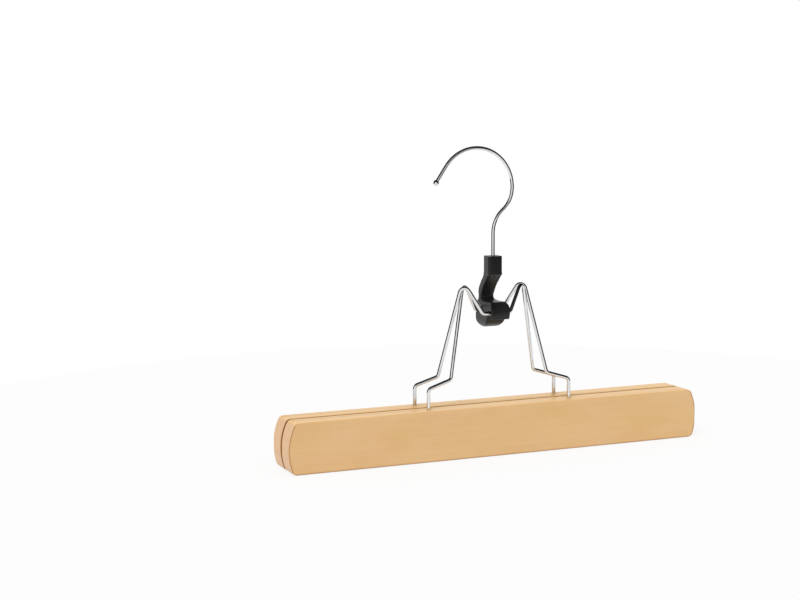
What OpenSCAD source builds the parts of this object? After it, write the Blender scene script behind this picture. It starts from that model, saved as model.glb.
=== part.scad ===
// Trouser hanger: two wooden clamp bars on crossed spring wires, opened by a flip lever under the hook.
// Millimetres. X runs along the bars, Y through the jaws from front to back, Z up from the bars' bottom.

/* [Bars] */
// Length of each wooden bar
bar_len = 355; // [250:5:450]
// Height of each bar
bar_h = 40; // [32:1:56]
// Thickness of each bar
bar_t = 17; // [12:0.5:20]
// Radius of the eased long edges
bar_edge_r = 1.5; // [0.5:0.25:3.5]
// Radius of the bowed ends, seen from the front
bar_end_r = 46; // [36:1:120]
// Height of the bow's fullest point above the bars' bottom
bar_bow_z = 18; // [14:1:22]
// Radius of the corners, seen from the front
bar_corner_r = 5; // [2:0.5:9]

/* [Lining] */
// Thickness of each flocked lining strip
felt_t = 0.85; // [0.5:0.05:1.5]
// Space between the two linings when the jaws are closed
jaw_gap = 0.3; // [0.2:0.1:1]
// Distance from the bar's bottom edge to the lining
felt_low = 4; // [4:0.5:8]
// Distance from the bar's top edge to the lining
felt_high = 6; // [4:0.5:16]
// Distance from each bar end to the lining
felt_in = 12; // [12:1:30]
// Corner radius of the lining
felt_corner_r = 4; // [1:0.5:7]

/* [Wire frames] */
// Diameter of the frame wire
wire_d = 3; // [2.5:0.1:3.2]
// Distance from the middle to each foot of a frame
foot_x = 61.5; // [52:0.5:80]
// Depth of each foot in its bar
foot_depth = 24; // [10:1:28]
// Radial clearance of a foot in its hole
foot_clear = 0.02; // [0.01:0.01:0.05]
// Height of the straight foot above the bar
foot_rise = 16; // [8:1:24]
// Inward reach of the jog above the foot
jog_in = 19.5; // [10:0.5:26]
// Rise of the jog
jog_rise = 6; // [2:0.5:12]
// Distance from the middle to each peak's sharp corner
peak_x = 26; // [23:0.5:32]
// Height of that corner above the bars
peak_rise = 98.5; // [90:0.5:106]
// How far each peak leans past the middle plane
peak_over = 3; // [2.6:0.1:4]
// Sideways offset that lets the two frames pass each other
frame_shift = 1.7; // [1.6:0.1:2.4]
// Bend radius of the foot and jog
jog_bend_r = 3.5; // [3:0.25:5]
// Bend radius of each peak
peak_bend_r = 4; // [3.5:0.25:5]
// Bend radius on each side of the lever
seat_bend_r = 3; // [2.5:0.25:4]
// Distance from the middle to each crossbar's sharp corner
seat_x = 11.7; // [10.5:0.1:14]
// Distance from the middle plane to each crossbar
seat_y = 10.5; // [9.5:0.25:12]
// Height of the crossbars above the bars
seat_rise = 72.5; // [69:0.5:76]
// Drop from a peak's sharp corner to the line that the jaws swing about
pivot_drop = 9; // [7:0.5:11]

/* [Lever] */
// Radial clearance of the crossbar that the lever turns on
seat_clear = 0.08; // [0.02:0.01:0.1]
// Width of the slot through which that crossbar is snapped in
seat_slot = 2.4; // [1.5:0.1:2.8]
// Clearance between the cam and the crossbar that rides on it
cam_clear = 0.35; // [0.3:0.05:0.6]
// Side clearance between the cam and the bends of the wires
cam_side_clear = 0.1; // [0.1:0.1:1]
// Plastic beyond each crossbar, front and back
lobe_wall = 4.5; // [3.5:0.25:6]
// Height of the cam's top above the crossbars
lobe_rise = 8.5; // [6:0.25:10]
// Reach of the hood in front of the front crossbar, below that crossbar's middle
hood_drop = 5.5; // [2:0.5:8]
// Width of the neck
neck_w = 10.2; // [8:0.2:12]
// Thickness of the neck, front to back
neck_t = 5.4; // [4.5:0.1:7]
// Height of the block's bottom above the crossbars
block_rise = 29.5; // [28:0.5:34]
// Height of the block that holds the hook
block_h = 14.5; // [13:0.5:20]
// Width of the block
block_w = 11.8; // [10:0.2:14]
// Depth of the block
block_d = 10.4; // [9:0.2:12]
// Radius of the block's upright edges
block_edge_r = 1.4; // [0.5:0.1:3]

/* [Hook] */
// Diameter of the hook wire
hook_d = 3; // [2.6:0.1:3.4]
// Radial clearance of the stem in the block
stem_clear = 0.06; // [0.02:0.01:0.1]
// Length of the stem's bore in the block
bore_len = 9; // [6:0.5:10]
// Diameter of the head that keeps the hook in the block
head_d = 5.2; // [4.4:0.1:5.6]
// Thickness of that head
head_t = 1.4; // [1:0.1:2]
// Clearance round and above that head
head_clear = 0.3; // [0.2:0.05:0.5]
// Length of the straight stem above the block
stem_len = 18; // [10:1:26]
// Radius of the crook, to the middle of the wire
crook_r = 31.2; // [28:1:40]
// Height of the crook's centre above the block
crook_rise = 53.4; // [50:0.5:75]
// Distance from the stem to the crook's centre
crook_off = 14.6; // [8:1:20]
// Angle that the crook turns through over the rail
crook_turn = 146; // [120:2:170]
// Length of the straight flared end
flare_len = 15; // [6:1:20]
// Diameter of the ball on the end
ball_d = 4.8; // [4.2:0.1:7]

/* [Motion] */
// Angle that the lever flips through
flip_angle = 90; // [60:5:90]
// Angle that the jaws open by
jaw_angle = 27; // [15:1:27]

/* [Hidden] */
$fn = 48;

// Heights and depths that follow from the sizes above
bar_in_y = jaw_gap / 2 + felt_t;
foot_y = bar_in_y + bar_t / 2;
knee_z = bar_h + foot_rise;
peak_z = bar_h + peak_rise;
seat_z = bar_h + seat_rise;
pivot_z = peak_z - pivot_drop;
jog_y = foot_y - (foot_y + peak_over) * jog_rise / (peak_z - knee_z);
block_z = seat_z + block_rise;
block_top = block_z + block_h;
bore_r = hook_d / 2 + stem_clear;
ceiling_z = block_top - bore_len;
head_z = ceiling_z - head_clear - head_t;
cut = 1;

// One frame's bend corners from foot to foot, and the radius of each bend
half_path = [[-foot_x, -foot_y, bar_h - foot_depth],
             [-foot_x, -foot_y, knee_z],
             [jog_in - foot_x, -jog_y, knee_z + jog_rise],
             [-peak_x, peak_over, peak_z],
             [-seat_x, seat_y, seat_z]];
half_bends = [0, jog_bend_r, jog_bend_r, peak_bend_r, seat_bend_r];
frame_path = concat(half_path, [for (i = [4:-1:0]) [-half_path[i].x, half_path[i].y, half_path[i].z]]);
frame_bends = concat(half_bends, [for (i = [4:-1:0]) half_bends[i]]);

function unit(v) = v / norm(v);
function corner_angle(p, i) =
    acos(unit(p[i - 1] - p[i]) * unit(p[i + 1] - p[i]));
function tangent_len(p, r, i) =
    i == 0 || i == len(p) - 1 ? 0 : r[i] / tan(corner_angle(p, i) / 2);

// Bent wire is a hair fatter than straight wire, and straight wire runs a little way into it,
// so that each wire joins into one solid.
bend_fat = 0.01;
lap = 0.1;

// The straight rod between two points
module rod(a, b, d) {
    v = b - a;
    translate(a)
        rotate([0, acos(v.z / norm(v)), atan2(v.y, v.x)])
            cylinder(h = norm(v), d = d);
}

// A bend about centre c that starts in direction u and turns round the normal n
module bend(c, r, u, n, angle, d) {
    w = cross(n, u);
    translate(c)
        rotate([atan2(w.z, n.z), -asin(u.z), atan2(u.y, u.x)])
            rotate_extrude(angle = angle)
                translate([r, 0])
                    circle(d = d + 2 * bend_fat);
}

// A wire that runs straight from corner to corner and is rounded at each of them
module bent_wire(p, r, d) {
    for (i = [0:len(p) - 2]) {
        along = unit(p[i + 1] - p[i]);
        from = i == 0 ? 0 : tangent_len(p, r, i) - lap;
        to = i == len(p) - 2 ? 0 : tangent_len(p, r, i + 1) - lap;
        rod(p[i] + along * from, p[i + 1] - along * to, d);
    }
    for (i = [1:len(p) - 2]) {
        half = corner_angle(p, i) / 2;
        back = unit(p[i - 1] - p[i]);
        on = unit(p[i + 1] - p[i]);
        centre = p[i] + unit(back + on) * r[i] / sin(half);
        first = unit(p[i] + back * tangent_len(p, r, i) - centre);
        last = unit(p[i] + on * tangent_len(p, r, i) - centre);
        bend(centre, r[i], first, unit(cross(first, last)), 180 - 2 * half, d);
    }
}

// A rectangle between two corners, with round corners
module round_rect(low, high, r) {
    translate([low.x + r, low.y])
        square([high.x - low.x - 2 * r, high.y - low.y]);
    translate([low.x, low.y + r])
        square([high.x - low.x, high.y - low.y - 2 * r]);
    for (x = [low.x + r, high.x - r], y = [low.y + r, high.y - r])
        translate([x, y])
            circle(r);
}

// The bar seen from the front: a rectangle with bowed ends and round corners
module bar_outline() {
    bow_x = bar_len / 2 - bar_end_r;
    reach = bar_end_r - bar_corner_r;
    for (side = [0, 1])
        mirror([side, 0]) {
            difference() {
                intersection() {
                    square([bar_len / 2, bar_h]);
                    union() {
                        square([bow_x, bar_h]);
                        translate([bow_x, bar_bow_z])
                            circle(bar_end_r, $fn = 96);
                    }
                }
                for (z = [bar_corner_r, bar_h - bar_corner_r]) {
                    up = z > bar_bow_z ? 1 : -1;
                    centre = [bow_x + sqrt(reach * reach - pow(z - bar_bow_z, 2)), z];
                    outward = unit(centre - [bow_x, bar_bow_z]);
                    polygon([centre,
                             centre + [0, up * (bar_corner_r + cut)],
                             centre + [2 * bar_corner_r, up * (bar_corner_r + cut)],
                             centre + outward * (bar_corner_r + cut)]);
                }
            }
            for (z = [bar_corner_r, bar_h - bar_corner_r])
                translate([bow_x + sqrt(reach * reach - pow(z - bar_bow_z, 2)), z])
                    circle(bar_corner_r);
        }
}

// The front bar, with its two holes for the feet of the front frame
module bar() {
    difference() {
        intersection() {
            translate([0, -bar_in_y, 0])
                rotate([90, 0, 0])
                    linear_extrude(bar_t)
                        bar_outline();
            rotate([90, 0, 90])
                linear_extrude(bar_len, center = true)
                    round_rect([-bar_in_y - bar_t, 0], [-bar_in_y, bar_h], bar_edge_r);
            linear_extrude(bar_h)
                round_rect([-bar_len / 2, -bar_in_y - bar_t], [bar_len / 2, -bar_in_y], bar_edge_r);
        }
        for (x = [-foot_x, foot_x])
            translate([x + frame_shift, -foot_y, bar_h - foot_depth])
                cylinder(h = foot_depth + cut, r = wire_d / 2 + foot_clear);
    }
}

// The front bar's lining, glued to its inner face
module felt() {
    translate([0, -jaw_gap / 2, 0])
        rotate([90, 0, 0])
            linear_extrude(felt_t)
                round_rect([-bar_len / 2 + felt_in, felt_low], [bar_len / 2 - felt_in, bar_h - felt_high],
                           felt_corner_r);
}

// The front bar's frame: up from the bar, over the peak and down to the back of the lever
module frame_wire() {
    translate([frame_shift, 0, 0])
        bent_wire(frame_path, frame_bends, wire_d);
}

// Points of a cubic curve after its first one
function curve(p0, p1, p2, p3, steps = 10) =
    [for (i = [1:steps]) let (t = i / steps, s = 1 - t)
        p0 * s * s * s + p1 * 3 * s * s * t + p2 * 3 * s * t * t + p3 * t * t * t];

// The lever's cam in its own plane: [y, z] at an angle below the front, seen from the back crossbar.
// It is the path of the front crossbar, less that wire and the clearance.
swing_r = norm([seat_y, pivot_z - seat_z]);
swing_half = atan2(seat_y, pivot_z - seat_z);
ratio = jaw_angle / flip_angle;
cam_end = flip_angle + jaw_angle / 2;
ride_r = wire_d / 2 + cam_clear;
function cam_point(a) =
    let (gap = 2 * swing_r * sin(swing_half - ratio / 2 * a / (1 + ratio / 2)) - ride_r)
    [seat_y - gap * cos(a), seat_z - gap * sin(a)];

lobe_y = seat_y + lobe_wall;
lobe_top = seat_z + lobe_rise;
half_d = block_d / 2;
heel = cam_point(cam_end);

// The lever seen from the side, without its block: the back wall, the cam, the hood over the front
// crossbar and the neck
module lever_side() {
    front_y = seat_y + ride_r;
    lip_y = front_y + 0.6 * (lobe_y - front_y);
    lip_z = seat_z - hood_drop;
    nape = [lobe_y - neck_t, lobe_top + 2.5];
    polygon(concat(
        [[half_d, block_z]],
        curve([half_d, block_z], [half_d + 1, block_z - 5], [lobe_y, seat_z + 21], [lobe_y, seat_z + 12]),
        curve([lobe_y, seat_z - 4], [lobe_y, seat_z - 7], heel + [1.6, 0.4], heel),
        [for (a = [cam_end:-4:0]) cam_point(a)],
        [for (a = [0:10:180]) [-seat_y + ride_r * cos(a), seat_z + ride_r * sin(a)]],
        curve([-front_y, lip_z + 1], [-front_y, lip_z], [-lip_y, lip_z], [-lip_y, lip_z + 1]),
        curve([-lip_y, lip_z + 1], [-lip_y - 0.4, lip_z + 2.5], [-lobe_y, seat_z - 2.5], [-lobe_y, seat_z]),
        curve([-lobe_y, seat_z], [-lobe_y, seat_z + 0.6 * lobe_rise], [-lobe_y + 2.5, lobe_top],
              [-lobe_y + 6.5, lobe_top]),
        [[0, lobe_top - 0.5]],
        curve([0, lobe_top - 0.5], [nape.x - 3, lobe_top - 0.5], [nape.x + 0.3, lobe_top + 0.5], nape),
        curve(nape, nape + [-0.5, 6], [-half_d + 5, block_z - 3.6], [-half_d, block_z])
    ));
}

// Half the width of the lever's cam: as wide as the straight stretch of the crossbars allows
cam_half = seat_x - tangent_len(frame_path, frame_bends, 4) - frame_shift - cam_side_clear;

// The lever's neck and cam seen from the front
module lever_front() {
    neck_half = neck_w / 2;
    base_z = heel.y - 3;
    side = concat(
        [[neck_half, block_z], [neck_half, block_z - 4]],
        curve([neck_half, block_z - 4], [neck_half - 0.7, block_z - 8], [neck_half - 0.7, lobe_top + 3],
              [neck_half, lobe_top]),
        curve([neck_half, lobe_top], [neck_half + 1.8, lobe_top - 0.2], [cam_half, lobe_top - 2.2],
              [cam_half, lobe_top - 5]),
        curve([cam_half, seat_z - 6], [cam_half, seat_z - 9.5], [cam_half - 2, base_z], [cam_half - 4.5, base_z])
    );
    polygon(concat(side, [for (i = [len(side) - 1:-1:0]) [-side[i].x, side[i].y]]));
}

module lever_body() {
    intersection() {
        rotate([90, 0, 90])
            linear_extrude(4 * cam_half, center = true)
                lever_side();
        rotate([90, 0, 0])
            linear_extrude(4 * lobe_y, center = true)
                lever_front();
    }
    translate([0, 0, block_z])
        linear_extrude(block_h)
            round_rect([-block_w / 2, -half_d], [block_w / 2, half_d], block_edge_r);
}

module cam_lever() {
    color([0.05, 0.05, 0.055])
        difference() {
            lever_body();
            translate([0, seat_y, seat_z])
                rotate([0, 90, 0])
                    cylinder(h = 4 * cam_half, r = wire_d / 2 + seat_clear, center = true);
            translate([-2 * cam_half, seat_y, seat_z - seat_slot / 2])
                cube([4 * cam_half, lobe_wall + cut, seat_slot]);
            translate([0, 0, ceiling_z - cut])
                cylinder(h = bore_len + 2 * cut, r = bore_r);
            translate([0, 0, block_z - 2])
                cylinder(h = ceiling_z - block_z + 2, r = head_d / 2 + head_clear);
        }
}

// An arc of hook wire in the plane of the bars, about [x, z], from one angle to another
module hook_arc(centre, r, from, to, d) {
    translate([centre.x, 0, centre.y])
        rotate([90, -from, 0])
            rotate_extrude(angle = to - from)
                translate([r, 0])
                    circle(d = d);
}

crook_z = block_top + crook_rise;
crook_x = -crook_off;
side_x = crook_x + crook_r;
stem_top = block_top + stem_len;
sway = 2 * atan(side_x / (crook_z - stem_top));
sway_r = (crook_z - stem_top) / (2 * sin(sway));
crook_end = [crook_x + crook_r * cos(crook_turn), 0, crook_z + crook_r * sin(crook_turn)];
flare_end = crook_end + flare_len * [-sin(crook_turn), 0, cos(crook_turn)];

fat_d = hook_d + 2 * bend_fat;
lap_turn = lap / sway_r * 180 / PI;

module hook() {
    color([0.82, 0.83, 0.85]) {
        translate([0, 0, head_z])
            cylinder(h = head_t, d = head_d);
        translate([0, 0, head_z])
            cylinder(h = stem_top + lap - head_z, d = hook_d);
        hook_arc([sway_r, stem_top], sway_r, 180 - sway, 180, fat_d);
        hook_arc([side_x - sway_r, crook_z], sway_r, -sway - lap_turn, lap_turn, hook_d);
        hook_arc([crook_x, crook_z], crook_r, 0, crook_turn, fat_d);
        rod(crook_end - lap * unit(flare_end - crook_end), flare_end, hook_d);
    }
}

// The ball is sunk onto the wire's end as far as its own middle
module hook_tip() {
    color([0.82, 0.83, 0.85])
        difference() {
            translate(flare_end)
                sphere(d = ball_d);
            rod(flare_end - unit(flare_end - crook_end) * ball_d, flare_end, hook_d + 2 * foot_clear);
        }
}

module front_bar() {
    color([0.86, 0.70, 0.47])
        bar();
}

module back_bar() {
    color([0.82, 0.65, 0.42])
        rotate([0, 0, 180])
            bar();
}

module front_felt() {
    color([0.10, 0.10, 0.11])
        felt();
}

module back_felt() {
    color([0.10, 0.10, 0.11])
        rotate([0, 0, 180])
            felt();
}

module front_wire() {
    color([0.78, 0.79, 0.82])
        frame_wire();
}

module back_wire() {
    color([0.70, 0.72, 0.76])
        rotate([0, 0, 180])
            frame_wire();
}

front_bar();
back_bar();
front_felt();
back_felt();
front_wire();
back_wire();
cam_lever();
hook();
hook_tip();
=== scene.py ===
import math

import bmesh
import bpy
from mathutils import Matrix, Vector


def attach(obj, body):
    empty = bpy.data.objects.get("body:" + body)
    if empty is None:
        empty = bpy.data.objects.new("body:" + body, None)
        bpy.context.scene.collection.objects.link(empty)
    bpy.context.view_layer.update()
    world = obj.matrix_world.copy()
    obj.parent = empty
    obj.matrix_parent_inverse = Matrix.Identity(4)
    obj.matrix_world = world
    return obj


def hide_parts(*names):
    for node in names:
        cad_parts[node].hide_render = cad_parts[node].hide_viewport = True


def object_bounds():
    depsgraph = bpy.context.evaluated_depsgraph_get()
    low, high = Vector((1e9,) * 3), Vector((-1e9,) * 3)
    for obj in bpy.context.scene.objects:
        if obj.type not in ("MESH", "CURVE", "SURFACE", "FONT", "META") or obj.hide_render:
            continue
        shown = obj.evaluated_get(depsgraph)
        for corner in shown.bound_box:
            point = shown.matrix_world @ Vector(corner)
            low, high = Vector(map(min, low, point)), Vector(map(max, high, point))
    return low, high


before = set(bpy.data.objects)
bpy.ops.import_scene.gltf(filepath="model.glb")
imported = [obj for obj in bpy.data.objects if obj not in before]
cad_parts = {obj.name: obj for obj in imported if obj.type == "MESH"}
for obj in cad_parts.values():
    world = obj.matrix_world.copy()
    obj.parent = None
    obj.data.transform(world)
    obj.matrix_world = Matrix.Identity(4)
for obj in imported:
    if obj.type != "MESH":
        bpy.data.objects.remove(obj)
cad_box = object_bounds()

# Clamp bars.
# Two planed lengths of pale hardwood, long edges eased and ends bowed on a spindle moulder,
# each bored twice from above for the feet of a wire frame, then sprayed with clear satin varnish.
MM = 0.001
BAR_HALF = cad_box[1][0] / MM
END_BOW_R = 46.0
END_BOW_X = BAR_HALF - END_BOW_R
END_BOW_Z = 18.0
FRONT_BAR_CUT = (0.13, 0.021, 0.37)
BACK_BAR_CUT = (0.71, 0.43, 0.052)

WOOD_PALE = (0.790, 0.530, 0.265)
WOOD_TAN = (0.750, 0.470, 0.195)
WOOD_LINE = (0.50, 0.27, 0.10)
WOOD_END = (0.80, 0.50, 0.27)
WOOD_PINK = (0.80, 0.495, 0.265)
# The darkest wood brown: a thin dark line painted along each bowed end, and painted shade along the lower
# edges and down the seam between the bars.
WOOD_EDGE_LINE_AND_SHADE = (0.33, 0.130, 0.018)
# Painted sheen: the upward faces are tinted this paler cream for the varnish's glancing reflection,
# together with the paler edge grain of the top.
WOOD_TOP_SHEEN = (0.97, 0.61, 0.26)

# Each pattern of the wood has a stretch along X, Y and Z, then its scale, detail, roughness and
# distortion, then the levels between which its tint comes up, each with the strength there.
WOOD_PATTERNS = {
    "figure": ((4, 12, 12), (3.0, 4.0, 0.6, 0.4), ((0.30, 0.0), (0.70, 1.0))),
    "blush": ((9, 16, 16), (2.0, 2.0, 0.5), ((0.42, 0.0), (0.62, 0.45))),
    "streaks": ((9, 420, 420), (1.6, 5.0, 0.65), ((0.44, 0.0), (0.74, 0.06))),
    "pores": ((46, 1500, 1500), (1.0, 2.0, 0.5), ((0.60, 0.0), (0.72, 0.10))),
    "top_lines": ((3, 190, 40), (1.0, 4.0, 0.6), ((0.54, 0.0), (0.68, 0.5))),
    "end_rays": ((300, 900, 240), (1.0, 3.0, 0.6), ((0.42, 0.0), (0.66, 0.30))),
}
RING_STRETCH = (1.1, 34, 34)
RING_SHAPE = {"Scale": 1.35, "Distortion": 7.5, "Detail": 3.0, "Detail_Scale": 0.9,
              "Detail_Roughness": 0.55}
RING_SHOWS = ((0.55, 0.0), (0.93, 0.04), (1.0, 0.02))
# The upward faces get the painted sheen of the varnish, at the share below, and also their own grain
# lines.
TOP_FACE = ((0.6, 0.0), (0.9, 1.0))
TOP_SHEEN_SHARE = 0.95
END_FACE = ((0.72, 0.0), (0.90, 1.0))
# A thin dark line painted along the outline of each bowed end, on the front and back faces.
END_RIM = ((0.974, 0.0), (0.988, 0.65))
# Painted shade along the lower edges, where the faces turn under.
UNDER_EDGE_SHADE = ((0.10, 0.0), (0.40, 0.5))
# Painted shade on each bar's inner face, darkest close to the seam between the bars.
SEAM_SPAN = 10.0
SEAM_SHADE = ((0.13, 0.85), (0.21, 0.0))
VARNISH_ROUGHNESS = ((0.3, 0.36), (0.8, 0.50))
VARNISH = {"Specular_IOR_Level": 0.22, "Coat_Weight": 0.18, "Coat_Roughness": 0.22, "Coat_IOR": 1.5}
PORE_DEPTH = 0.6
GRAIN_RELIEF = (0.10, 0.4 * MM)


def new_material(name):
    material = bpy.data.materials.new(name)
    material.use_nodes = True
    tree = material.node_tree
    return material, tree, tree.nodes["Principled BSDF"]


def add(tree, kind, **settings):
    node = tree.nodes.new(kind)
    for key, value in settings.items():
        setattr(node, key, value)
    return node


def set_inputs(node, **values):
    for name, value in values.items():
        node.inputs[name.replace("_", " ")].default_value = value


def grey(level):
    return (level, level, level, 1)


def stretched_place(tree, stretch=(1, 1, 1), shift=(0, 0, 0)):
    coordinates = add(tree, "ShaderNodeTexCoord")
    mapping = add(tree, "ShaderNodeMapping")
    set_inputs(mapping, Scale=stretch, Location=shift)
    tree.links.new(coordinates.outputs["Object"], mapping.inputs["Vector"])
    return mapping.outputs["Vector"]


def axes_of(tree, coordinate):
    axes = add(tree, "ShaderNodeSeparateXYZ")
    tree.links.new(add(tree, "ShaderNodeTexCoord").outputs[coordinate], axes.inputs[0])
    return axes.outputs


def noise(tree, place, scale, detail=3.0, roughness=0.55, distortion=0.0):
    texture = add(tree, "ShaderNodeTexNoise")
    set_inputs(texture, Scale=scale, Detail=detail, Roughness=roughness, Distortion=distortion)
    tree.links.new(place, texture.inputs["Vector"])
    return texture.outputs["Fac"]


def ramp(tree, value, stops):
    node = add(tree, "ShaderNodeValToRGB")
    elements = node.color_ramp.elements
    while len(elements) < len(stops):
        elements.new(0.5)
    for element, (position, level) in zip(elements, stops):
        element.position = position
        element.color = grey(level)
    tree.links.new(value, node.inputs["Fac"])
    return node.outputs["Color"]


def blend(tree, amount, first, second, mode="MIX"):
    node = add(tree, "ShaderNodeMix", data_type="RGBA", blend_type=mode)
    for socket, value in ((node.inputs[0], amount), (node.inputs[6], first), (node.inputs[7], second)):
        if isinstance(value, bpy.types.NodeSocket):
            tree.links.new(value, socket)
        elif isinstance(value, tuple):
            socket.default_value = (*value, 1)
        else:
            socket.default_value = value
    return node.outputs[2]


def maths(tree, operation, *values):
    node = add(tree, "ShaderNodeMath", operation=operation)
    for socket, value in zip(node.inputs, values):
        if isinstance(value, bpy.types.NodeSocket):
            tree.links.new(value, socket)
        else:
            socket.default_value = value
    return node.outputs[0]


def relief(tree, shader, height, strength, distance):
    node = add(tree, "ShaderNodeBump")
    set_inputs(node, Strength=strength, Distance=distance)
    tree.links.new(height, node.inputs["Height"])
    tree.links.new(node.outputs["Normal"], shader.inputs["Normal"])


# A thin dark line painted on the front and back faces, along the outline of each bowed end.
def end_rim(tree, place, sideways):
    beyond = maths(tree, "SUBTRACT", maths(tree, "ABSOLUTE", place["X"]), END_BOW_X * MM)
    beyond = maths(tree, "MAXIMUM", beyond, 0.0)
    above = maths(tree, "SUBTRACT", place["Z"], END_BOW_Z * MM)
    squares = [maths(tree, "MULTIPLY", side, side) for side in (beyond, above)]
    reach = maths(tree, "SQRT", maths(tree, "ADD", *squares))
    reach = maths(tree, "DIVIDE", reach, END_BOW_R * MM)
    return maths(tree, "MULTIPLY", ramp(tree, reach, END_RIM), sideways)


def varnished_wood(name, cut):
    material, tree, shader = new_material(name)
    facing = axes_of(tree, "Normal")
    place = axes_of(tree, "Object")
    endwise = maths(tree, "ABSOLUTE", facing["X"])
    sideways = maths(tree, "ABSOLUTE", facing["Y"])
    upward = ramp(tree, facing["Z"], TOP_FACE)
    patterns = {}
    shows = {}
    for kind, (stretch, texture, stops) in WOOD_PATTERNS.items():
        patterns[kind] = noise(tree, stretched_place(tree, stretch, cut), *texture)
        shows[kind] = ramp(tree, patterns[kind], stops)
    rings = add(tree, "ShaderNodeTexWave", wave_type="BANDS", bands_direction="Z")
    set_inputs(rings, **RING_SHAPE)
    tree.links.new(stretched_place(tree, RING_STRETCH, cut), rings.inputs["Vector"])
    # Painted shade masks: the lower edges, turned down and sideways, and the inner faces by their distance
    # from the seam.
    under = maths(tree, "MULTIPLY", maths(tree, "MULTIPLY", facing["Z"], -1.0), sideways)
    inward = maths(tree, "DIVIDE", maths(tree, "ABSOLUTE", place["Y"]), SEAM_SPAN * MM)

    colour = blend(tree, shows["figure"], WOOD_PALE, WOOD_TAN)
    for amount, tint in (
            (shows["blush"], WOOD_PINK),
            (ramp(tree, rings.outputs["Fac"], RING_SHOWS), WOOD_LINE),
            (shows["streaks"], WOOD_LINE),
            (shows["pores"], WOOD_LINE),
            # Painted sheen on the upward faces, then their grain lines.
            (maths(tree, "MULTIPLY", upward, TOP_SHEEN_SHARE), WOOD_TOP_SHEEN),
            (maths(tree, "MULTIPLY", shows["top_lines"], upward), WOOD_LINE),
            (ramp(tree, endwise, END_FACE), blend(tree, shows["end_rays"], WOOD_END, WOOD_LINE)),
            # A painted dark line along each bowed end.
            (end_rim(tree, place, sideways), WOOD_EDGE_LINE_AND_SHADE),
            # Painted shade along the lower edges.
            (ramp(tree, under, UNDER_EDGE_SHADE), WOOD_EDGE_LINE_AND_SHADE),
            # Painted shade down the seam between the bars.
            (ramp(tree, inward, SEAM_SHADE), WOOD_EDGE_LINE_AND_SHADE)):
        colour = blend(tree, amount, colour, tint)
    tree.links.new(colour, shader.inputs["Base Color"])
    tree.links.new(ramp(tree, patterns["streaks"], VARNISH_ROUGHNESS), shader.inputs["Roughness"])
    set_inputs(shader, **VARNISH)
    grain = maths(tree, "ADD", patterns["streaks"], maths(tree, "MULTIPLY", patterns["pores"], PORE_DEPTH))
    relief(tree, shader, grain, *GRAIN_RELIEF)
    return material


def finish_node(node, material):
    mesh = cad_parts[node].data
    mesh.materials.clear()
    mesh.materials.append(material)


finish_node("front_bar", varnished_wood("front_bar_wood", FRONT_BAR_CUT))
finish_node("back_bar", varnished_wood("back_bar_wood", BACK_BAR_CUT))

# Linings.
# A strip of dark flocked card glued to the inner face of each bar, so that the cloth isn't marked
# and doesn't slip. While the jaws are closed, only its edges can be seen, deep in the seam.
FLOCK_DARK = (0.018, 0.018, 0.021)
FLOCK_LIGHT = (0.060, 0.060, 0.068)
FIBRES = (2600.0, 3.0, 0.7)
NAP = (140.0, 3.0, 0.6)
FLOCK_SHOWS = ((0.35, 0.0), (0.65, 1.0))
FLOCK_FINISH = {"Roughness": 0.95, "Sheen_Weight": 0.5, "Sheen_Roughness": 0.4}
FLOCK_RELIEF = (0.7, 0.3 * MM)


def flocked_felt():
    material, tree, shader = new_material("flocked_felt")
    place = stretched_place(tree)
    fibres = noise(tree, place, *FIBRES)
    mixed = maths(tree, "MULTIPLY", maths(tree, "ADD", fibres, noise(tree, place, *NAP)), 0.5)
    colour = blend(tree, ramp(tree, mixed, FLOCK_SHOWS), FLOCK_DARK, FLOCK_LIGHT)
    tree.links.new(colour, shader.inputs["Base Color"])
    set_inputs(shader, **FLOCK_FINISH)
    relief(tree, shader, fibres, *FLOCK_RELIEF)
    return material


felt_finish = flocked_felt()
finish_node("front_felt", felt_finish)
finish_node("back_felt", felt_finish)

# Wire frames.
# Two equal frames of 3 mm spring steel wire, bent cold and chromium plated. Each is pressed into
# one bar, leans over the other frame at its two peaks and passes through the lever on the far side.
WIRE_R = 1.5
FOOT = (61.5, -9.5, 16.0)
KNEE_Z = 56.0
JOG = (42.0, 62.0)
PEAK = (26.0, 3.0, 138.5)
SEAT = (11.7, 10.5, 112.5)
FRAME_SHIFT = 1.7
JOG_BEND = 3.5
PEAK_BEND = 4.0
SEAT_BEND = 3.0

CHROME_PALE = (0.80, 0.81, 0.82)
CHROME_DEEP = (0.70, 0.71, 0.73)
DRAWING_MARKS = (900.0, 4.0, 0.6)
PLATING_CLOUDS = (60.0, 3.0, 0.5)
CLOUDS_SHOW = ((0.35, 0.0), (0.7, 1.0))
CHROME_ROUGHNESS = ((0.3, 0.04), (0.75, 0.10))
CHROME_RELIEF = (0.005, 0.1 * MM)


def chrome(name):
    material, tree, shader = new_material(name)
    place = stretched_place(tree)
    marks = noise(tree, place, *DRAWING_MARKS)
    clouds = ramp(tree, noise(tree, place, *PLATING_CLOUDS), CLOUDS_SHOW)
    set_inputs(shader, Metallic=1.0)
    tree.links.new(blend(tree, clouds, CHROME_PALE, CHROME_DEEP), shader.inputs["Base Color"])
    tree.links.new(ramp(tree, marks, CHROME_ROUGHNESS), shader.inputs["Roughness"])
    relief(tree, shader, marks, *CHROME_RELIEF)
    return material


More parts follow.
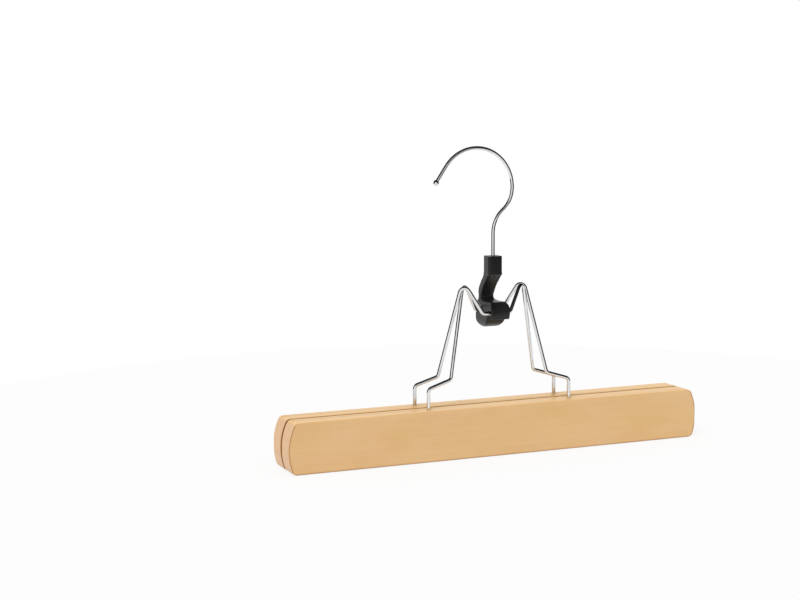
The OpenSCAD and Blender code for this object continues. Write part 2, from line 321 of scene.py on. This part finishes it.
def bent_line(corners, bends, steps=12):
    line = [corners[0]]
    for before, corner, after, bend in zip(corners, corners[1:], corners[2:], bends):
        back = (before - corner).normalized()
        on = (after - corner).normalized()
        half = back.angle(on) / 2
        centre = corner + (back + on).normalized() * (bend / math.sin(half))
        start = corner + back * (bend / math.tan(half)) - centre
        normal = back.cross(on).normalized()
        for i in range(steps + 1):
            turn = Matrix.Rotation(-(math.pi - 2 * half) * i / steps, 3, normal)
            line.append(centre + turn @ start)
    line.append(corners[-1])
    return line


def piece(name, mesh, sharp=35):
    data = bpy.data.meshes.new(name)
    mesh.to_mesh(data)
    mesh.free()
    made = bpy.data.objects.new(name, data)
    bpy.context.collection.objects.link(made)
    data.shade_smooth()
    data.set_sharp_from_angle(angle=math.radians(sharp))
    return made


def bent_wire(name, line, radii, sides=20):
    mesh = bmesh.new()
    rings = []
    side = (line[1] - line[0]).normalized().orthogonal().normalized()
    for i, (point, radius) in enumerate(zip(line, radii)):
        along = (line[min(i + 1, len(line) - 1)] - line[max(i - 1, 0)]).normalized()
        side = (side - along * side.dot(along)).normalized()
        other = along.cross(side)
        rings.append([mesh.verts.new(point + (side * math.cos(a) + other * math.sin(a)) * radius)
                      for a in (2 * math.pi * k / sides for k in range(sides))])
    for low, high in zip(rings, rings[1:]):
        for k in range(sides):
            mesh.faces.new((low[k], low[(k + 1) % sides], high[(k + 1) % sides], high[k]))
    mesh.faces.new(list(reversed(rings[0])))
    mesh.faces.new(rings[-1])
    bmesh.ops.recalc_face_normals(mesh, faces=mesh.faces)
    return piece(name, mesh)


def fit(made, body, node, material):
    made.data.materials.append(material)
    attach(made, body)
    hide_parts(node)


def frame_line(turn):
    foot_x, foot_y, foot_z = FOOT
    jog_x, jog_z = JOG
    lean = (foot_y - PEAK[1]) * (jog_z - KNEE_Z) / (PEAK[2] - KNEE_Z)
    half = [(foot_x, foot_y, foot_z), (foot_x, foot_y, KNEE_Z), (jog_x, foot_y - lean, jog_z), PEAK, SEAT]
    corners = [(-x, y, z) for x, y, z in half] + half[::-1]
    bends = [JOG_BEND, JOG_BEND, PEAK_BEND, SEAT_BEND, SEAT_BEND, PEAK_BEND, JOG_BEND, JOG_BEND]
    spin = Matrix.Rotation(turn, 3, "Z")
    points = [spin @ Vector((x + FRAME_SHIFT, y, z)) * MM for x, y, z in corners]
    return bent_line(points, [bend * MM for bend in bends])


wire_finish = chrome("chromed_frame_wire")
for name, body, node, turn in (("front_frame_wire", "front_clamp", "front_wire", 0),
                               ("back_frame_wire", "back_clamp", "back_wire", math.pi)):
    wire_line = frame_line(turn)
    frame_wire = bent_wire(name, wire_line, [WIRE_R * MM] * len(wire_line))
    fit(frame_wire, body, node, wire_finish)

# Flip lever.
# One moulding of black plastic: a block that holds the hook, a bent neck, and a foot that snaps
# over the back crossbar and spreads the front one. It leaves the mould with softened edges.
PLASTIC = (0.009, 0.0088, 0.0088)
PLASTIC_WORN = (0.019, 0.018, 0.018)
MOULD_SKIN = (1700.0, 3.0, 0.6)
MOULD_FLOW = (90.0, 4.0, 0.6)
FLOW_STRETCH = (1, 1, 0.3)
FLOW_SHOWS = ((0.40, 0.0), (0.75, 1.0))
PLASTIC_ROUGHNESS = ((0.3, 0.26), (0.75, 0.42))
PLASTIC_SHINE = 0.28
PLASTIC_RELIEF = (0.14, 0.12 * MM)

WELD = 0.002
SKIN_GRAIN = 0.32
NECK_FOOT_Z = 118.5
NECK_TOP_Z = 143.5
NECK_SWELL = 0.26
NECK_FULLNESS = 0.6
BLOCK_HALF = 5.9
FOOT_TOP_Z = 126.0
BLOCK_PASSES = 3
FOOT_PASSES = 18
SMOOTHING = 0.5


def black_plastic():
    material, tree, shader = new_material("black_moulded_plastic")
    skin = noise(tree, stretched_place(tree), *MOULD_SKIN)
    flow = noise(tree, stretched_place(tree, FLOW_STRETCH), *MOULD_FLOW)
    colour = blend(tree, ramp(tree, flow, FLOW_SHOWS), PLASTIC, PLASTIC_WORN)
    tree.links.new(colour, shader.inputs["Base Color"])
    tree.links.new(ramp(tree, flow, PLASTIC_ROUGHNESS), shader.inputs["Roughness"])
    set_inputs(shader, Specular_IOR_Level=PLASTIC_SHINE)
    relief(tree, shader, skin, *PLASTIC_RELIEF)
    return material


def skinned(name, node):
    mesh = bmesh.new()
    mesh.from_mesh(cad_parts[node].data)
    bmesh.ops.remove_doubles(mesh, verts=mesh.verts, dist=WELD * MM)
    made = piece(name, mesh)
    skin = made.modifiers.new("moulded_skin", "REMESH")
    skin.mode = "VOXEL"
    skin.voxel_size = SKIN_GRAIN * MM
    mesh = bmesh.new()
    mesh.from_object(made, bpy.context.evaluated_depsgraph_get())
    made.modifiers.remove(skin)
    return made, mesh


def swell_neck(verts):
    limit = BLOCK_HALF * MM
    for vert in verts:
        up = (vert.co.z / MM - NECK_FOOT_Z) / (NECK_TOP_Z - NECK_FOOT_Z)
        if 0 < up < 1 and abs(vert.co.x) < limit:
            swell = 1 + NECK_SWELL * math.sin(math.pi * up) ** NECK_FULLNESS
            vert.co.x = max(-limit, min(limit, vert.co.x * swell))


def soften(mesh, verts, passes):
    for _ in range(passes):
        bmesh.ops.smooth_vert(mesh, verts=verts, factor=SMOOTHING, use_axis_x=True, use_axis_y=True,
                              use_axis_z=True)


lever, lever_skin = skinned("flip_lever", "cam_lever")
swell_neck(lever_skin.verts)
lever_foot = [vert for vert in lever_skin.verts if vert.co.z < FOOT_TOP_Z * MM]
soften(lever_skin, lever_skin.verts, BLOCK_PASSES)
soften(lever_skin, lever_foot, FOOT_PASSES)
lever_skin.to_mesh(lever.data)
lever_skin.free()
lever.data.shade_smooth()
fit(lever, "lever", "cam_lever", black_plastic())

# Hook.
# A length of 3 mm wire bent to a crook and chromium plated. Its lower end is upset into a head
# inside the lever's block, so that it swivels, and a small plated ball covers its free end.
HOOK_R = 1.5
HOOK_SIDES = 24
HEAD_Z = 145.8
HEAD_H = 1.4
HEAD_R = 2.6
HEAD_CHAMFER = 0.12
HEAD_FACE = 0.86
HEAD_NECK = 0.4
BLOCK_TOP_Z = 156.5
STEM_TOP_Z = 174.5
SWAY_STEPS = 12
CROOK = (-14.6, 209.9)
CROOK_R = 31.2
CROOK_TURN = math.radians(146)
CROOK_STEPS = 40
FLARE = 15.0
BALL_R = 2.4
BALL_SEGMENTS = 28
BALL_RINGS = 18


def hook_line():
    crook_x, crook_z = CROOK
    reach = crook_x + CROOK_R
    rise = crook_z - STEM_TOP_Z
    sway = 2 * math.atan(reach / rise)
    sway_r = rise / (2 * math.sin(sway))
    points = [(0, HEAD_Z + HEAD_H * share) for share in (0, HEAD_CHAMFER, 1 - HEAD_CHAMFER, 1)]
    points += [(0, HEAD_Z + HEAD_H + HEAD_NECK), (0, BLOCK_TOP_Z), (0, STEM_TOP_Z)]
    leans = [sway * i / SWAY_STEPS for i in range(SWAY_STEPS + 1)]
    points += [(sway_r * (1 - math.cos(a)), STEM_TOP_Z + sway_r * math.sin(a)) for a in leans[1:]]
    points += [(reach - sway_r * (1 - math.cos(a)), crook_z - sway_r * math.sin(a)) for a in leans[-2::-1]]
    turns = [CROOK_TURN * i / CROOK_STEPS for i in range(1, CROOK_STEPS + 1)]
    points += [(crook_x + CROOK_R * math.cos(a), crook_z + CROOK_R * math.sin(a)) for a in turns]
    end_x, end_z = points[-1]
    points += [(end_x - math.sin(CROOK_TURN) * flare, end_z + math.cos(CROOK_TURN) * flare)
               for flare in (FLARE / 2, FLARE)]
    return [Vector((x, 0, z)) * MM for x, z in points]


crook_line = hook_line()
head_radii = [HEAD_R * HEAD_FACE, HEAD_R, HEAD_R, HEAD_R * HEAD_FACE]
hook_radii = head_radii + [HOOK_R] * (len(crook_line) - len(head_radii))
hook_finish = chrome("chromed_hook_wire")
hook = bent_wire("swivel_hook", crook_line, [radius * MM for radius in hook_radii], HOOK_SIDES)
fit(hook, "hook", "hook", hook_finish)

ball = bmesh.new()
bmesh.ops.create_uvsphere(ball, u_segments=BALL_SEGMENTS, v_segments=BALL_RINGS, radius=BALL_R * MM)
bmesh.ops.translate(ball, verts=ball.verts, vec=crook_line[-1])
hook_ball = piece("hook_end_ball", ball)
fit(hook_ball, "hook", "hook_tip", hook_finish)

# Studio.
# A plain white table in a white room, soft light from all round with one broad lamp from the left,
# in front and above, and a long lens. The chrome mirrors the room with a dark ceiling and dark screens.
ROOM_LIGHT = 0.70
SCREENS = ((0.0, 0.01), (0.065, 0.01), (0.085, 1.0), (0.22, 1.0), (0.26, 0.45), (0.31, 0.40),
           (0.325, 0.01), (0.54, 0.01), (0.56, 1.0), (0.855, 1.0), (0.87, 0.01), (1.0, 0.01))
CEILING = ((0.40, 1.0), (0.52, 0.03))
TABLE_R = 550.0
TABLE_SEGMENTS = 128
TABLE_Z = -0.2
TABLE_PALE = 0.94
TABLE_GLOW = 0.85
TABLE_FINISH = {"Roughness": 0.9, "Specular_IOR_Level": 0.1}
LAMP_PLACE = (-1.3, -1.1, 1.7)
LAMP_STRENGTH = 1.1
LAMP_SPREAD = 24
CAMERA_PLACE = (-0.589, -1.200, 0.296)
CAMERA_YAW = math.radians(23.01)
CAMERA_DOWN = math.radians(7.44)
CAMERA_ROLL = math.radians(-0.23)
LENS = 76.9
FILM_WIDTH = 36.0


def when_seen(tree, share, shaded, white):
    path = add(tree, "ShaderNodeLightPath")
    seen = maths(tree, "MAXIMUM", path.outputs["Is Camera Ray"], path.outputs["Is Transmission Ray"])
    seen = maths(tree, "MULTIPLY", maths(tree, "MAXIMUM", seen, path.outputs["Is Glossy Ray"]), share)
    mix = add(tree, "ShaderNodeMixShader")
    for socket, value in zip(mix.inputs, (seen, shaded, white)):
        tree.links.new(value, socket)
    return mix.outputs[0]


def mirrored_room(tree):
    direction = add(tree, "ShaderNodeTexCoord").outputs["Generated"]
    heading = add(tree, "ShaderNodeTexGradient", gradient_type="RADIAL")
    tree.links.new(direction, heading.inputs["Vector"])
    height = add(tree, "ShaderNodeSeparateXYZ")
    tree.links.new(direction, height.inputs[0])
    screens = ramp(tree, heading.outputs["Fac"], SCREENS)
    ceiling = ramp(tree, height.outputs["Z"], CEILING)
    room = add(tree, "ShaderNodeBackground")
    tree.links.new(blend(tree, 1.0, screens, ceiling, "MULTIPLY"), room.inputs["Color"])
    return room.outputs[0]


world = bpy.data.worlds.new("studio_world")
bpy.context.scene.world = world
world.use_nodes = True
sky = world.node_tree
soft = sky.nodes["Background"]
set_inputs(soft, Color=grey(1), Strength=ROOM_LIGHT)
plain = add(sky, "ShaderNodeBackground")
set_inputs(plain, Color=grey(1))
shown = add(sky, "ShaderNodeMixShader")
glossy = add(sky, "ShaderNodeLightPath").outputs["Is Glossy Ray"]
for socket, value in zip(shown.inputs, (glossy, plain.outputs[0], mirrored_room(sky))):
    sky.links.new(value, socket)
sky.links.new(when_seen(sky, 1.0, soft.outputs[0], shown.outputs[0]), sky.nodes["World Output"].inputs[0])

table_mesh = bmesh.new()
bmesh.ops.create_circle(table_mesh, cap_ends=True, segments=TABLE_SEGMENTS, radius=TABLE_R * MM)
bmesh.ops.translate(table_mesh, verts=table_mesh.verts, vec=(0, 0, TABLE_Z * MM))
table = piece("table", table_mesh)
table_finish, table_tree, table_shader = new_material("white_table")
set_inputs(table_shader, Base_Color=grey(TABLE_PALE), **TABLE_FINISH)
glow = add(table_tree, "ShaderNodeEmission")
set_inputs(glow, Color=grey(1))
table_tree.links.new(when_seen(table_tree, TABLE_GLOW, table_shader.outputs[0], glow.outputs[0]),
                     table_tree.nodes["Material Output"].inputs[0])
table.data.materials.append(table_finish)

light = bpy.data.lights.new("key_light", "SUN")
light.energy = LAMP_STRENGTH
light.angle = math.radians(LAMP_SPREAD)
lamp = bpy.data.objects.new("key_light", light)
lamp.location = LAMP_PLACE
lamp.visible_glossy = False
lamp.rotation_euler = (-Vector(LAMP_PLACE)).to_track_quat("-Z", "Y").to_euler()
bpy.context.collection.objects.link(lamp)

camera_data = bpy.data.cameras.new("camera")
camera_data.lens = LENS
camera_data.sensor_width = FILM_WIDTH
camera = bpy.data.objects.new("camera", camera_data)
camera.location = CAMERA_PLACE
look = Matrix.Rotation(-CAMERA_YAW, 4, "Z") @ Matrix.Rotation(math.pi / 2 - CAMERA_DOWN, 4, "X")
camera.rotation_euler = (look @ Matrix.Rotation(CAMERA_ROLL, 4, "Z")).to_euler()
bpy.context.collection.objects.link(camera)
bpy.context.scene.camera = camera
bpy.context.scene.view_settings.view_transform = "Standard"
